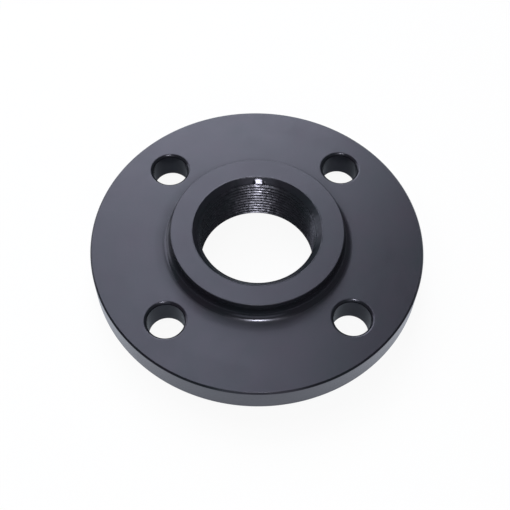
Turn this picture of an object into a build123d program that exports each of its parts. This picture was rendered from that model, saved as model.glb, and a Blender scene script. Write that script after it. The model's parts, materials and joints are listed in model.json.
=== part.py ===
import os

from build123d import *

# Threaded pipe flange with a hub, lying on its raised sealing face. Lengths are in millimetres.
# The origin is the centre of the raised face, and +Z runs along the pipe, towards the hub.

# Disc
flange_diameter = 165.0
disc_thickness = 15.0
rim_chamfer = 0.8

# Raised sealing face, which stands out below the disc
raised_face_diameter = 102.0
raised_face_height = 3.0
raised_face_edge = 0.4

# Hub, which stands above the disc
hub_diameter = 85.0
hub_projection = 10.0
hub_fillet = 5.0
hub_edge_round = 0.8

# Parallel pipe thread of 11 threads to the inch. Its turns are too fine for this model,
# so the bore is the plain cylinder that its crests lie on.
thread_major_diameter = 59.614
thread_pitch = 25.4 / 11
thread_depth = 0.640327 * thread_pitch

# Countersink at 45 degrees that leads the pipe in, measured outwards from the thread's roots
hub_mouth_allowance = 1.94

# Chamfer that breaks the thread's last crest at the raised face
face_mouth_chamfer = 0.5

# Bolt holes, astride the centre lines
bolt_circle_diameter = 125.0
bolt_hole_count = 4
bolt_hole_diameter = 18.0
bolt_hole_chamfer = 1.0

# Levels of the faces above the raised face
disc_bottom = raised_face_height
disc_top = disc_bottom + disc_thickness
hub_top = disc_top + hub_projection

# Radii of the section
flange_radius = flange_diameter / 2
raised_face_radius = raised_face_diameter / 2
hub_radius = hub_diameter / 2
bore_radius = thread_major_diameter / 2 - thread_depth
hub_mouth_radius = thread_major_diameter / 2 + hub_mouth_allowance
face_mouth_radius = bore_radius + face_mouth_chamfer

# Radii of the bolt holes and of their circle
bolt_circle_radius = bolt_circle_diameter / 2
bolt_hole_radius = bolt_hole_diameter / 2

# The fillet and the round of the hub share its side wall, and the fillet also stays on the disc
most_of_a_wall = 0.9
hub_round = min(hub_edge_round, most_of_a_wall * (hub_radius - hub_mouth_radius) / 2)
hub_fillet_room = min(hub_projection - hub_round, flange_radius - rim_chamfer - hub_radius)
hub_root_fillet = min(hub_fillet, most_of_a_wall * hub_fillet_room)


with BuildPart() as flange:
    # Half section, turned about the axis of the pipe
    with BuildSketch(Plane.XZ) as section:
        with BuildLine():
            Polyline(
                (bore_radius, face_mouth_chamfer),
                (face_mouth_radius, 0),
                (raised_face_radius, 0),
                (raised_face_radius, disc_bottom),
                (flange_radius, disc_bottom),
                (flange_radius, disc_top),
                (hub_radius, disc_top),
                (hub_radius, hub_top),
                (hub_mouth_radius, hub_top),
                (bore_radius, hub_top - (hub_mouth_radius - bore_radius)),
                close=True,
            )
        make_face()

        rim_corners = section.vertices().group_by(Axis.X)[-1]
        chamfer(rim_corners, rim_chamfer)

        raised_face_corner = section.vertices().sort_by_distance((raised_face_radius, 0))[0]
        chamfer(raised_face_corner, raised_face_edge)

        hub_root = section.vertices().sort_by_distance((hub_radius, disc_top))[0]
        fillet(hub_root, hub_root_fillet)

        hub_corner = section.vertices().sort_by_distance((hub_radius, hub_top))[0]
        fillet(hub_corner, hub_round)
    revolve(axis=Axis.Z)

    # Bolt holes through the disc, countersunk from above to break their upper edges
    with Locations(Plane.XY.offset(disc_top)):
        with PolarLocations(bolt_circle_radius, bolt_hole_count, start_angle=180 / bolt_hole_count):
            CounterSinkHole(bolt_hole_radius, bolt_hole_radius + bolt_hole_chamfer, counter_sink_angle=90)

flange.part.label = "flange"

os.makedirs("parts", exist_ok=True)
export_step(flange.part, "parts/flange.step")

steel_density = 7850e-9
print(f"overall height {hub_top:.2f} mm, bore radius {bore_radius:.3f} mm")
print(f"volume {flange.part.volume:.0f} mm3, weight in steel {flange.part.volume * steel_density:.2f} kg")
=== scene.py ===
import json
import math

import bpy
import numpy as np
from mathutils import Matrix, Vector
from mathutils.geometry import delaunay_2d_cdt


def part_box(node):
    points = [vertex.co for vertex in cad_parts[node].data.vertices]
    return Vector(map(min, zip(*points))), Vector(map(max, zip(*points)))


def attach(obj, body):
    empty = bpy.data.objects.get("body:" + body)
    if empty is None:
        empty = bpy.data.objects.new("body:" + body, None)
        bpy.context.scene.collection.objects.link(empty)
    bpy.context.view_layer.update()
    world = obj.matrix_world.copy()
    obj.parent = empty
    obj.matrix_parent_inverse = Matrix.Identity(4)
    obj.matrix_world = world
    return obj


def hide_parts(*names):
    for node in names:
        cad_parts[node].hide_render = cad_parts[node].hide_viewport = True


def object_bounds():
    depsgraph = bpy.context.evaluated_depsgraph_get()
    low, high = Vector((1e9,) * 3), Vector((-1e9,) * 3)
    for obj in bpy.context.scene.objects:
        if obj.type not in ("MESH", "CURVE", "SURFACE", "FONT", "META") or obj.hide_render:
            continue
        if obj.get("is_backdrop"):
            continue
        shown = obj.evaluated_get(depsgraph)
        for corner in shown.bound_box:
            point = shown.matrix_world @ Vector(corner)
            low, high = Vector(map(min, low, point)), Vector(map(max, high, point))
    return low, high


# A painted steel pipe flange, lying on its raised face. Lengths in this script are in millimetres
# until Blender takes them, where MM turns them into metres.
MM = 0.001

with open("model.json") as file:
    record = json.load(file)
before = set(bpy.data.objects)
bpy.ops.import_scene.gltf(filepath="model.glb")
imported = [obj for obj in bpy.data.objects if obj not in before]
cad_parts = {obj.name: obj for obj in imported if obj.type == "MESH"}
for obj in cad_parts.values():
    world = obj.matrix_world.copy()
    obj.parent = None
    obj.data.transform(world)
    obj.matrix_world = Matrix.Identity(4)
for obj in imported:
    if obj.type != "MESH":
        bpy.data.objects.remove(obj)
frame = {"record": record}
cad_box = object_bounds()

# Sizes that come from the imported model
mounts = {mount["name"]: mount for mount in frame["record"]["mounts"]}
_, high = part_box("flange")
FLANGE_R = max(high.x, high.y) / MM
HUB_TOP = high.z / MM
DISC_TOP = mounts["nut_face"]["pos_m"][2] / MM
CREST_R = mounts["pipe_thread"]["dims"]["r_mm"]
HOLE_R = mounts["bolts"]["dims"]["hole_r_mm"]
BOLT_CIRCLE_R = mounts["bolts"]["dims"]["pcd_mm"] / 2
HOLE_COUNT = mounts["bolts"]["dims"]["count"]

# Sizes that the record doesn't hold, as in the part's source
DISC_BOTTOM = 3.0
RAISED_R = 51.0
RAISED_EDGE = 0.4
RIM_CHAMFER = 0.8
HOLE_CHAMFER = 1.0
HUB_R = 42.5
HUB_FILLET = 5.0
HUB_MOUTH_ALLOWANCE = 1.94
FACE_MOUTH_CHAMFER = 0.5

# Parallel pipe thread with a 55 degree rounded form, right-handed
PITCH = 25.4 / 11
THREAD_DEPTH = 0.640327 * PITCH
THREAD_ROUND = 0.137329 * PITCH
FLANK = math.radians(27.5)
ROUND_REACH = THREAD_ROUND * math.cos(FLANK)
ROOT_R = CREST_R + THREAD_DEPTH
HUB_MOUTH_R = ROOT_R + HUB_MOUTH_ALLOWANCE
FACE_MOUTH_R = CREST_R + FACE_MOUTH_CHAMFER

# Height of the middle of a groove at the bore's right-hand side
THREAD_START = 0.9

# The threaded wall starts at this depth below the hub's top. The raised face's own rings start
# this far outside the thread's roots.
THREAD_TOP_DEPTH = 1.2
THREAD_FACE_MARGIN = 0.8

# Radii of the painted edges, and the bevel where the thread meets the raised face
PAINT_ROUND = 0.3
HUB_ROUND = 0.45
MOUTH_ROUND = 1.1
HOLE_ROUND = 1.4
HOLE_LOWER_ROUND = 0.2
THREAD_BLEND = 0.12
FACE_BEVEL = 0.15

# A three-cornered lump of paint in the countersink, at the back of the bore. It starts at
# LUMP_LEVEL, leans in by LUMP_LEAN more than the countersink for each millimetre down, and ends
# in a step at LUMP_FOOT. Its sides are measured to the right of the bore's back, along the wall,
# and the right one moves out by LUMP_SPREAD for each millimetre down.
LUMP_LEAN = 0.6
LUMP_LEVEL = 27.3
LUMP_FOOT = 25.3
LUMP_STEP = 0.5
LUMP_LEFT = -1.0
LUMP_RIGHT = 2.1
LUMP_SPREAD = 0.9
LUMP_SOFTNESS = 0.7

# Mesh fineness: vertices round the axis and round a bolt hole, and the turn of one step of a round
RING = 256
HOLE_RING = 96
ROUND_STEP = math.radians(14)
HUB_ROUND_STEP = math.radians(8)


def polar(r, angle):
    """The point at a radius and an angle round the axis."""
    return r * math.cos(angle), r * math.sin(angle)


def rounded_section(corners, step=ROUND_STEP):
    """Points (r, z) and outward normals along a half section, with the solid on its left.

    corners are (r, z) or (r, z, radius). A corner with a radius becomes an arc.
    """
    points = []
    for i, corner in enumerate(corners):
        at = np.array(corner[:2], float)
        if len(corner) == 2:
            ahead = np.array(corners[min(i + 1, len(corners) - 1)][:2], float)
            behind = np.array(corners[max(i - 1, 0)][:2], float)
            run = (ahead - at) if i == 0 else (at - behind)
            run /= np.linalg.norm(run)
            points.append((*at, run[1], -run[0]))
            continue
        radius = corner[2]
        run_in = at - np.array(corners[i - 1][:2], float)
        run_out = np.array(corners[i + 1][:2], float) - at
        run_in /= np.linalg.norm(run_in)
        run_out /= np.linalg.norm(run_out)
        start = math.atan2(-run_in[0], run_in[1])
        turn = math.atan2(run_in[0] * run_out[1] - run_in[1] * run_out[0], run_in @ run_out)
        bulge = math.copysign(radius, turn)
        first = at - run_in * radius * math.tan(abs(turn) / 2)
        centre = first - bulge * np.array(polar(1, start))
        steps = max(3, math.ceil(abs(turn) / step))
        for k in range(steps + 1):
            normal = np.array(polar(1, start + turn * k / steps))
            points.append((*(centre + bulge * normal), *normal))
    return points


class Skin:
    """Collects vertices, normals and faces of one closed mesh. A normal of None is filled in later."""

    def __init__(self):
        self.points = []
        self.normals = []
        self.faces = []

    def add(self, point, normal):
        self.points.append(point)
        self.normals.append(normal)
        return len(self.points) - 1

    def ring(self, r, z, normal_r, normal_z, centre=(0.0, 0.0), count=RING):
        """A level ring of vertices round an upright axis."""
        ids = []
        for j in range(count):
            angle = 2 * math.pi * j / count
            x, y = polar(r, angle)
            ids.append(self.add((centre[0] + x, centre[1] + y, z), (*polar(normal_r, angle), normal_z)))
        return ids

    def revolve(self, section, centre=(0.0, 0.0), count=RING):
        """Turns a section about an upright axis and returns its rings."""
        rings = [self.ring(*row, centre=centre, count=count) for row in section]
        for one, two in zip(rings, rings[1:]):
            self.bridge(one, two)
        return rings

    def bridge(self, one, two):
        """A strip of faces between two rings of as many vertices."""
        for j, one_j in enumerate(one):
            k = (j + 1) % len(one)
            self.faces.append((one_j, one[k], two[k], two[j]))

    def hollow(self, ring):
        """A ring's centre, and how far from it the ring's chords lie."""
        centre = Vector(np.mean([self.points[i][:2] for i in ring], axis=0))
        radius = (Vector(self.points[ring[0]][:2]) - centre).length
        return centre, radius * math.cos(math.pi / len(ring))

    def fill(self, outer, inner, holes, up):
        """A flat face between two rings, open at the holes' rings."""
        rings = [outer, inner, *holes]
        ids = [i for ring in rings for i in ring]
        flat = [Vector(self.points[i][:2]) for i in ids]
        edges = []
        for ring in rings:
            start = len(edges)
            edges += [(start + j, start + (j + 1) % len(ring)) for j in range(len(ring))]
        whole_hull, merge_distance = 0, 1e-7
        verts, _, triangles, origins, _, _ = delaunay_2d_cdt(flat, edges, [], whole_hull, merge_distance)

        # Triangles that lie within the inner ring or a hole are left out
        hollows = [self.hollow(ring) for ring in rings[1:]]
        for triangle in triangles:
            middle = sum((verts[v] for v in triangle), Vector((0, 0))) / 3
            if any((middle - centre).length < reach for centre, reach in hollows):
                continue
            face = [ids[origins[v][0]] for v in triangle]
            self.faces.append(tuple(face if up else face[::-1]))

    def mesh(self, name):
        mesh = bpy.data.meshes.new(name)
        points = [tuple(c * MM for c in p) for p in self.points]
        mesh.from_pydata(points, [], self.faces)
        mesh.validate()
        mesh.shade_smooth()
        mesh.normals_split_custom_set_from_vertices([tuple(n) for n in self.normals])
        return mesh


def soft_max(a, b, width):
    """The larger of two values, rounded over where they meet."""
    h = max(width - abs(a - b), 0.0) / width
    return max(a, b) + h * h * width / 4


def thread_radius(offset):
    """The thread's radius at an axial offset from the middle of a groove."""
    u = abs(offset)
    if u < ROUND_REACH:
        return ROOT_R - THREAD_ROUND + math.sqrt(THREAD_ROUND**2 - u * u)
    if u > PITCH / 2 - ROUND_REACH:
        rest = PITCH / 2 - u
        return CREST_R + THREAD_ROUND - math.sqrt(THREAD_ROUND**2 - rest * rest)
    edge = ROOT_R - THREAD_ROUND + THREAD_ROUND * math.sin(FLANK)
    return edge - (u - ROUND_REACH) / math.tan(FLANK)


def countersink_radius(z):
    return HUB_MOUTH_R - (HUB_TOP - z)


def wall_radius(angle, z):
    """The bore's radius: the thread, widened by the countersink and by the chamfer at the face."""
    along = z - THREAD_START - PITCH * angle / (2 * math.pi)
    r = thread_radius((along + PITCH / 2) % PITCH - PITCH / 2)
    r = soft_max(r, countersink_radius(z), THREAD_BLEND)
    return soft_max(r, FACE_MOUTH_R - z, THREAD_BLEND)


def thread_rows():
    """Axial offsets within one turn: round root, flank, round crest, flank."""
    across_round = [ROUND_REACH * share for share in (-1, -0.5, 0, 0.5, 1)]
    crest = [PITCH / 2 + offset for offset in across_round]
    return [*across_round, PITCH / 4, *crest, PITCH * 3 / 4]


def face_rings(skin):
    """Two rings where the thread runs out through the raised face: on the wall and on the face."""
    rings = []
    for z, growth, normal in ((FACE_BEVEL, 0.0, None), (0.0, FACE_BEVEL, (0.0, 0.0, -1.0))):
        ids = []
        for j in range(RING):
            angle = 2 * math.pi * j / RING
            r = wall_radius(angle, FACE_BEVEL) + growth
            ids.append(skin.add((*polar(r, angle), z), normal))
        rings.append(ids)
    skin.bridge(*rings)
    return rings


def cut_thread(skin, top_ring, bottom_ring):
    """The threaded wall between two level rings, which take in all rows beyond them."""
    top_z, bottom_z = skin.points[top_ring[0]][2], skin.points[bottom_ring[0]][2]
    offsets = thread_rows()
    per_turn = len(offsets)
    turns_below = 3
    turns_above = math.ceil((top_z - THREAD_START) / PITCH) + 1
    made = {}

    # A row this near to a level ring is taken as lying on it
    nearly = 0.02

    def vertex(row, j):
        if j == RING:
            return vertex(row + per_turn, 0)
        if (row, j) in made:
            return made[row, j]
        turn, step = divmod(row, per_turn)
        z = THREAD_START + PITCH * (turn + j / RING) + offsets[step]
        if z <= bottom_z + nearly:
            found = bottom_ring[j]
        elif z >= top_z - nearly:
            found = top_ring[j]
        else:
            angle = 2 * math.pi * j / RING
            found = skin.add((*polar(wall_radius(angle, z), angle), z), None)
        made[row, j] = found
        return found

    for row in range(-turns_below * per_turn, turns_above * per_turn):
        for j in range(RING):
            corners = (vertex(row + 1, j), vertex(row + 1, j + 1), vertex(row, j + 1), vertex(row, j))
            face = tuple(dict.fromkeys(corners))
            if len(face) > 2:
                skin.faces.append(face)


def ease(value):
    """A smooth step up from 0 to 1."""
    t = min(max(value, 0.0), 1.0)
    return t * t * (3 - 2 * t)


def press_lump(skin):
    """Moves the countersink's vertices inwards to the lump of paint."""
    # The ring at LUMP_LEVEL takes part too, so that it gets the lump's normals
    nearly = 0.001
    for i, (x, y, z) in enumerate(skin.points):
        r = math.hypot(x, y)
        if y < 0 or r > HUB_MOUTH_R or not LUMP_FOOT < z < LUMP_LEVEL + nearly:
            continue
        aside = (math.pi / 2 - math.atan2(y, x)) * r
        right = LUMP_RIGHT + LUMP_SPREAD * (HUB_TOP - z)
        inside_left = ease((aside - LUMP_LEFT) / LUMP_SOFTNESS + 0.5)
        inside_right = ease((right - aside) / LUMP_SOFTNESS + 0.5)
        share = inside_left * inside_right * ease((z - LUMP_FOOT) / LUMP_STEP)
        if share == 0:
            continue
        slope_r = countersink_radius(z) - LUMP_LEAN * (LUMP_LEVEL - z)
        lump_r = r + min(slope_r - r, 0.0) * share
        skin.points[i] = (x * lump_r / r, y * lump_r / r, z)
        skin.normals[i] = None


def smooth_missing_normals(skin):
    """Normals of the thread's and the lump's vertices, averaged from the faces round them."""
    points = np.array(skin.points)
    total = np.zeros_like(points)
    for face in skin.faces:
        if all(skin.normals[i] is not None for i in face):
            continue
        p = points[list(face)]
        normal = np.cross(p[1] - p[0], p[2] - p[0])
        if len(face) == 4:
            normal = normal + np.cross(p[2] - p[0], p[3] - p[0])
        for i in face:
            total[i] += normal
    for i, normal in enumerate(skin.normals):
        if normal is None:
            skin.normals[i] = tuple(total[i] / np.linalg.norm(total[i]))


def bolt_holes(skin, lead):
    """The walls of the bolt holes. Returns their top rings and their bottom rings."""
    wall = rounded_section([
        (HOLE_R + HOLE_CHAMFER + lead, DISC_TOP),
        (HOLE_R + HOLE_CHAMFER, DISC_TOP, HOLE_ROUND),
        (HOLE_R, DISC_TOP - HOLE_CHAMFER, HOLE_ROUND),
        (HOLE_R, DISC_BOTTOM, HOLE_LOWER_ROUND),
        (HOLE_R + lead, DISC_BOTTOM),
    ])[1:-1]
    tops, bottoms = [], []
    for k in range(HOLE_COUNT):
        centre = polar(BOLT_CIRCLE_R, 2 * math.pi * (k + 0.5) / HOLE_COUNT)
        rings = skin.revolve(wall, centre=centre, count=HOLE_RING)
        tops.append(rings[0])
        bottoms.append(rings[-1])
    return tops, bottoms


def flange_mesh():
    """The whole flange as one closed mesh."""
    skin = Skin()

    # A section starts or ends with a lead where its first or last corner is round. Only the
    # lead's direction counts, and its far end is left out of the mesh.
    lead = 2.0
    underside = skin.revolve(rounded_section([
        (ROOT_R + THREAD_FACE_MARGIN, 0),
        (RAISED_R - RAISED_EDGE, 0, PAINT_ROUND),
        (RAISED_R, RAISED_EDGE, PAINT_ROUND),
        (RAISED_R, DISC_BOTTOM, PAINT_ROUND),
        (RAISED_R + lead, DISC_BOTTOM),
    ])[:-1])
    rim = skin.revolve(rounded_section([
        (FLANGE_R - lead, DISC_BOTTOM),
        (FLANGE_R - RIM_CHAMFER, DISC_BOTTOM, PAINT_ROUND),
        (FLANGE_R, DISC_BOTTOM + RIM_CHAMFER, PAINT_ROUND),
        (FLANGE_R, DISC_TOP - RIM_CHAMFER, PAINT_ROUND),
        (FLANGE_R - RIM_CHAMFER, DISC_TOP, PAINT_ROUND),
        (FLANGE_R - lead, DISC_TOP),
    ])[1:-1])
    hub = skin.revolve(rounded_section([
        (HUB_R + HUB_FILLET + lead, DISC_TOP),
        (HUB_R, DISC_TOP, HUB_FILLET),
        (HUB_R, HUB_TOP, HUB_ROUND),
        (HUB_MOUTH_R, HUB_TOP, MOUTH_ROUND),
        (countersink_radius(LUMP_LEVEL), LUMP_LEVEL),
        (HUB_MOUTH_R - THREAD_TOP_DEPTH, HUB_TOP - THREAD_TOP_DEPTH),
    ], step=HUB_ROUND_STEP)[1:])
    wall_end, face_start = face_rings(skin)
    skin.bridge(face_start, underside[0])
    cut_thread(skin, hub[-1], wall_end)

    hole_tops, hole_bottoms = bolt_holes(skin, lead)
    skin.fill(rim[-1], hub[0], hole_tops, up=True)
    skin.fill(rim[0], underside[-1], hole_bottoms, up=False)
    press_lump(skin)
    smooth_missing_normals(skin)
    return skin.mesh("threaded_flange")


class Nodes:
    """Short calls for the node tree of a material or of the world."""

    def __init__(self, owner):
        owner.use_nodes = True
        self.tree = owner.node_tree
        self.tree.nodes.clear()

    def node(self, kind, **settings):
        made = self.tree.nodes.new(kind)
        for key, value in settings.items():
            setattr(made, key, value)
        return made

    def join(self, value, socket):
        """Links a socket to another one, or gives it a value. None leaves it as it is."""
        if isinstance(value, bpy.types.NodeSocket):
            self.tree.links.new(value, socket)
        elif value is not None:
            socket.default_value = value

    def math(self, operation, a, b=None, c=None):
        made = self.node("ShaderNodeMath", operation=operation)
        for value, socket in zip((a, b, c), made.inputs):
            self.join(value, socket)
        return made.outputs[0]

    def add(self, total, *others):
        for value in others:
            total = self.math("ADD", total, value)
        return total

    def times(self, total, *others):
        for value in others:
            total = self.math("MULTIPLY", total, value)
        return total

    def parts(self, vector):
        """The three components of a vector."""
        made = self.node("ShaderNodeSeparateXYZ")
        self.join(vector, made.inputs[0])
        return made.outputs

    def distance(self, place, point):
        """How far a place is from a point given in millimetres. The result is in metres."""
        made = self.node("ShaderNodeVectorMath", operation="DISTANCE")
        self.join(place, made.inputs[0])
        made.inputs[1].default_value = [c * MM for c in point]
        return made.outputs["Value"]

    def noise(self, vector, scale, detail, roughness=0.5):
        made = self.node("ShaderNodeTexNoise")
        self.join(vector, made.inputs["Vector"])
        made.inputs["Scale"].default_value = scale
        made.inputs["Detail"].default_value = detail
        made.inputs["Roughness"].default_value = roughness
        return made.outputs["Fac"]

    def span(self, value, from_low, from_high, to_low, to_high):
        """Maps one range of values to another, and stays within it."""
        made = self.node("ShaderNodeMapRange")
        for key, entry in zip(
            ("Value", "From Min", "From Max", "To Min", "To Max"),
            (value, from_low, from_high, to_low, to_high),
        ):
            self.join(entry, made.inputs[key])
        return made.outputs[0]

    def fade(self, value, none_at, full_at):
        """0 up to one size in millimetres and 1 from another, for a value in metres."""
        return self.span(value, none_at * MM, full_at * MM, 0.0, 1.0)

    def colours(self, factor, a, b):
        made = self.node("ShaderNodeMix", data_type="RGBA")
        colour_a, colour_b = [socket for socket in made.inputs if socket.type == "RGBA"]
        result = next(socket for socket in made.outputs if socket.type == "RGBA")
        self.join(factor, made.inputs["Factor"])
        colour_a.default_value = (*a, 1)
        colour_b.default_value = (*b, 1)
        return result

    def bump(self, height, depth, below):
        """Relief of a depth in millimetres, on top of another relief or of none."""
        made = self.node("ShaderNodeBump")
        made.inputs["Distance"].default_value = depth * MM
        self.join(height, made.inputs["Height"])
        self.join(below, made.inputs["Normal"])
        return made.outputs[0]


# The paint's two black tones, the tint of its reflections and its refractive index
PAINT_TONES = ((0.008, 0.013, 0.015), (0.014, 0.0115, 0.017))
PAINT_REFLECTION = (0.83, 0.825, 1.0, 1.0)
PAINT_IOR = 1.5

# Where the coat differs: the radius, height or distance where a mask is 0, and where it is 1
BORE_COAT_R = (32.2, 31.8)
TOP_EDGES_Z = (HUB_TOP - 2.4, HUB_TOP - 1.7)
DISC_LEVEL_Z = (DISC_TOP + 0.5, DISC_TOP)
NEAR_HUB_R = (HUB_R + HUB_FILLET + 4.5, HUB_R + HUB_FILLET - 0.5)
LUMP_CENTRE = (1.1, 29.3, 26.2)
OFF_LUMP_DISTANCE = (2.4, 3.1)

# Upward share of the normal, from a wall's to a level face's
LEVEL_NORMAL = (0.90, 0.99)

# Ranges that a noise mostly keeps to, the second one for a noise with little detail
NOISE_RANGE = (0.3, 0.7)
CALM_NOISE_RANGE = (0.35, 0.65)
NOISE_MEAN = 0.5

# Roughness of the coat, and what the matter places and the marks add to it
COAT_ROUGHNESS = (0.18, 0.24)
MATTE_EXTRA = 0.12
NEAR_HUB_EXTRA = 0.12
BORE_EXTRA = (0.02, 0.12)
BROAD_MARKS_EXTRA = 0.012
GRAIN_EXTRA = 0.03

# Depths of the relief, in millimetres
LUMPS_DEPTH = 0.22
MARKS_DEPTH = 0.012
PEEL_DEPTH = 0.020
GRAIN_DEPTH = 0.006


def black_paint():
    """Semi-gloss black paint over turned steel. Noise scales are in waves to the metre."""
    material = bpy.data.materials.new("black_paint")
    n = Nodes(material)
    shader = n.node("ShaderNodeBsdfPrincipled")
    n.join(shader.outputs[0], n.node("ShaderNodeOutputMaterial").inputs[0])

    place = n.node("ShaderNodeTexCoord").outputs["Object"]
    x, y, z = n.parts(place)
    radius = n.math("SQRT", n.add(n.times(x, x), n.times(y, y)))
    level = n.math("ABSOLUTE", n.parts(n.node("ShaderNodeNewGeometry").outputs["Normal"])[2])

    # Turning marks follow the tool: rings on the faces, level lines on the walls
    along = n.add(n.times(radius, level), n.times(z, n.math("SUBTRACT", 1.0, level)))
    turning = n.node("ShaderNodeCombineXYZ")
    n.join(along, turning.inputs[0])
    marks = n.noise(turning.outputs[0], scale=1400.0, detail=3.0, roughness=0.65)
    broad_marks = n.noise(turning.outputs[0], scale=160.0, detail=2.0)

    # Unevenness of the coat, from broad to fine
    tone = n.noise(place, scale=45.0, detail=5.0, roughness=0.75)
    patch = n.noise(place, scale=60.0, detail=5.0, roughness=0.7)
    pool = n.noise(place, scale=200.0, detail=1.0)
    drip = n.noise(place, scale=260.0, detail=2.0)
    peel = n.noise(place, scale=420.0, detail=2.0)
    grain = n.noise(place, scale=1900.0, detail=2.0)

    # The lump of paint is smoother than the bore and than the edges at the hub's top
    in_bore = n.fade(radius, *BORE_COAT_R)
    at_top = n.fade(z, *TOP_EDGES_Z)
    off_lump = n.fade(n.distance(place, LUMP_CENTRE), *OFF_LUMP_DISTANCE)
    top_edges = n.times(at_top, off_lump)
    below_edges = n.times(in_bore, n.math("SUBTRACT", 1.0, at_top), off_lump)

    # Level faces are turned and matter, walls and edges keep a smoother coat
    sheen = n.span(level, *LEVEL_NORMAL, 0.0, 1.0)
    near_hub = n.times(n.fade(radius, *NEAR_HUB_R), n.fade(z, *DISC_LEVEL_Z))
    rough = n.add(
        n.span(patch, *NOISE_RANGE, *COAT_ROUGHNESS),
        n.times(n.math("MAXIMUM", sheen, top_edges), MATTE_EXTRA),
        n.times(near_hub, sheen, NEAR_HUB_EXTRA),
        n.times(below_edges, n.span(pool, *CALM_NOISE_RANGE, *BORE_EXTRA)),
        n.span(broad_marks, *NOISE_RANGE, -BROAD_MARKS_EXTRA, BROAD_MARKS_EXTRA),
        n.span(grain, *NOISE_RANGE, -GRAIN_EXTRA, GRAIN_EXTRA),
    )

    off_mean = n.math("SUBTRACT", drip, NOISE_MEAN)
    lumps = n.times(n.math("MULTIPLY_ADD", off_mean, off_lump, NOISE_MEAN), in_bore)
    relief = None
    for height, depth in (
        (lumps, LUMPS_DEPTH),
        (marks, MARKS_DEPTH),
        (peel, PEEL_DEPTH),
        (grain, GRAIN_DEPTH),
    ):
        relief = n.bump(height, depth, below=relief)

    n.join(n.colours(n.span(tone, *NOISE_RANGE, 0.0, 1.0), *PAINT_TONES), shader.inputs["Base Color"])
    n.join(rough, shader.inputs["Roughness"])
    n.join(relief, shader.inputs["Normal"])
    shader.inputs["IOR"].default_value = PAINT_IOR
    shader.inputs["Specular Tint"].default_value = PAINT_REFLECTION
    return material


# The floor lies just below the raised face, so that the two don't share a plane
FLOOR_SIZE = 6000.0
FLOOR_DROP = 0.05

# It shows mostly its own white light. Each pair is a colour to the eye and one in reflections; in
# reflections the glow is bluer, and the darker matte colour there is painted shade.
FLOOR_GLOW = ((1, 1, 1), (0.86, 0.90, 1.0))
FLOOR_MATTE = ((0.9, 0.9, 0.9), (0.54, 0.59, 0.66))
FLOOR_GLOW_SHARE = 0.9

# Distances from the axis where the floor's light starts to show in reflections, and shows in full
OPEN_FLOOR_R = (FLANGE_R - 5.5, FLANGE_R + 3.7)


def floor_material():
    """White floor that stays white to the eye, keeps a soft shadow and is bright in reflections.

    Right under the flange no light of its own shows in reflections, a painted shade that keeps the holes
    dark.
    """
    material = bpy.data.materials.new("floor_white")
    n = Nodes(material)
    matte = n.node("ShaderNodeBsdfDiffuse")
    glow = n.node("ShaderNodeEmission")
    path = n.node("ShaderNodeLightPath")
    from_axis = n.distance(n.node("ShaderNodeTexCoord").outputs["Object"], (0, 0, 0))
    mirrored = n.math("MAXIMUM", path.outputs["Is Glossy Ray"], path.outputs["Is Transmission Ray"])
    mirrored_glow = n.times(mirrored, n.fade(from_axis, *OPEN_FLOOR_R))
    glow_seen = n.math("MAXIMUM", path.outputs["Is Camera Ray"], mirrored_glow)
    n.join(n.colours(mirrored, *FLOOR_GLOW), glow.inputs["Color"])
    n.join(n.colours(mirrored, *FLOOR_MATTE), matte.inputs["Color"])
    mix = n.node("ShaderNodeMixShader")
    n.join(n.times(glow_seen, FLOOR_GLOW_SHARE), mix.inputs[0])
    n.join(matte.outputs[0], mix.inputs[1])
    n.join(glow.outputs[0], mix.inputs[2])
    n.join(mix.outputs[0], n.node("ShaderNodeOutputMaterial").inputs[0])
    return material


def white_floor():
    half = FLOOR_SIZE / 2 * MM
    level = -FLOOR_DROP * MM
    mesh = bpy.data.meshes.new("floor")
    square = [(-half, -half, level), (half, -half, level), (half, half, level), (-half, half, level)]
    mesh.from_pydata(square, [], [(0, 1, 2, 3)])
    mesh.materials.append(floor_material())
    floor = bpy.data.objects.new("floor", mesh)
    bpy.context.scene.collection.objects.link(floor)
    floor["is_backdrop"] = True


# The background is white to the eye and lights the object only faintly
BACKGROUND_LIGHT = (0.95, 0.97, 1.0)
BACKGROUND_WHITE = (1, 1, 1)
BACKGROUND_STRENGTH = 0.1
SEEN_STRENGTH = 1.0


def white_background():
    world = bpy.data.worlds.new("studio")
    n = Nodes(world)
    background = n.node("ShaderNodeBackground")
    n.join(background.outputs[0], n.node("ShaderNodeOutputWorld").inputs["Surface"])
    seen = n.node("ShaderNodeLightPath").outputs["Is Camera Ray"]
    strength = n.span(seen, 0.0, 1.0, BACKGROUND_STRENGTH, SEEN_STRENGTH)
    n.join(n.colours(seen, BACKGROUND_LIGHT, BACKGROUND_WHITE), background.inputs["Color"])
    n.join(strength, background.inputs["Strength"])
    bpy.context.scene.world = world


# A square metre of area lamp sends a radiance of 1 at this many watts
WATTS_PER_RADIANCE = 4.0
COOL_WHITE = (0.92, 0.94, 1.0)
WHITE = (1, 1, 1)


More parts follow.
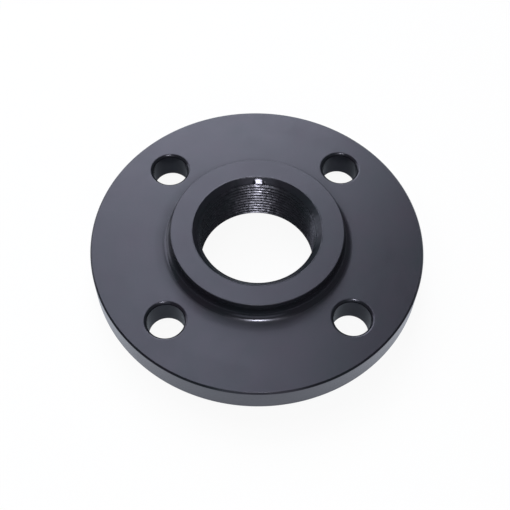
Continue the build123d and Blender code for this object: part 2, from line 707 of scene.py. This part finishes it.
def softbox(name, azimuth, elevation, size, radiance, distance=1500, colour=COOL_WHITE):
    """A rectangular area lamp of a given brightness, aimed at the middle of the disc's top.

    Azimuth 0 is behind the object and 90 is to its right.
    """
    a, e = math.radians(azimuth), math.radians(elevation)
    away = Vector((math.sin(a) * math.cos(e), math.cos(a) * math.cos(e), math.sin(e)))
    lamp = bpy.data.lights.new(name, "AREA")
    lamp.shape = "RECTANGLE"
    lamp.size, lamp.size_y = (side * MM for side in size)
    lamp.energy = radiance * WATTS_PER_RADIANCE * lamp.size * lamp.size_y
    lamp.color = colour
    made = bpy.data.objects.new(name, lamp)
    made.location = (Vector((0, 0, DISC_TOP)) + away * distance) * MM
    made.rotation_euler = away.to_track_quat("Z", "Y").to_euler()
    bpy.context.scene.collection.objects.link(made)


def lamps():
    softbox("back_softbox", azimuth=-5, elevation=38.5, size=(850, 846), radiance=4.45)
    softbox("top_softbox", azimuth=-13, elevation=67, size=(562, 534), radiance=3.2)
    softbox("key", azimuth=178, elevation=64, size=(90, 90), radiance=110.0, distance=900, colour=WHITE)
    softbox("front_fill", azimuth=180, elevation=30, size=(1100, 500), radiance=0.8)
    softbox("left_softbox", azimuth=-50, elevation=34, size=(800, 650), radiance=2.4)
    softbox("left_fill", azimuth=-60, elevation=10, size=(800, 480), radiance=1.3)


def photo_camera():
    """The photograph's view: looking down on the flange from the front, with a little turn and roll."""
    elevation, turn, roll = (math.radians(angle) for angle in (58.126, -2.370, 1.342))
    aside, above, distance = -0.856, 2.103, 483.576
    nearest = 10.0
    camera = bpy.data.cameras.new("photo_camera")
    camera.sensor_width = 36.0
    camera.lens = 66.57
    camera.clip_start = nearest * MM
    made = bpy.data.objects.new("photo_camera", camera)
    axes = (
        Matrix.Rotation(turn, 4, "Z")
        @ Matrix.Rotation(math.pi / 2 - elevation, 4, "X")
        @ Matrix.Rotation(roll, 4, "Z")
    )
    made.matrix_world = axes @ Matrix.Translation(Vector((aside, above, distance)) * MM)
    bpy.context.scene.collection.objects.link(made)
    bpy.context.scene.camera = made


paint = black_paint()
flange = bpy.data.objects.new("threaded_flange", flange_mesh())
flange.data.materials.append(paint)
bpy.context.scene.collection.objects.link(flange)
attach(flange, "root")
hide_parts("flange")

white_floor()
white_background()
lamps()
photo_camera()
bpy.context.scene.view_settings.view_transform = "Standard"


def corners(box):
    return [[float(c) for c in corner] for corner in box]


{"cad": corners(cad_box), "visual": corners(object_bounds())}
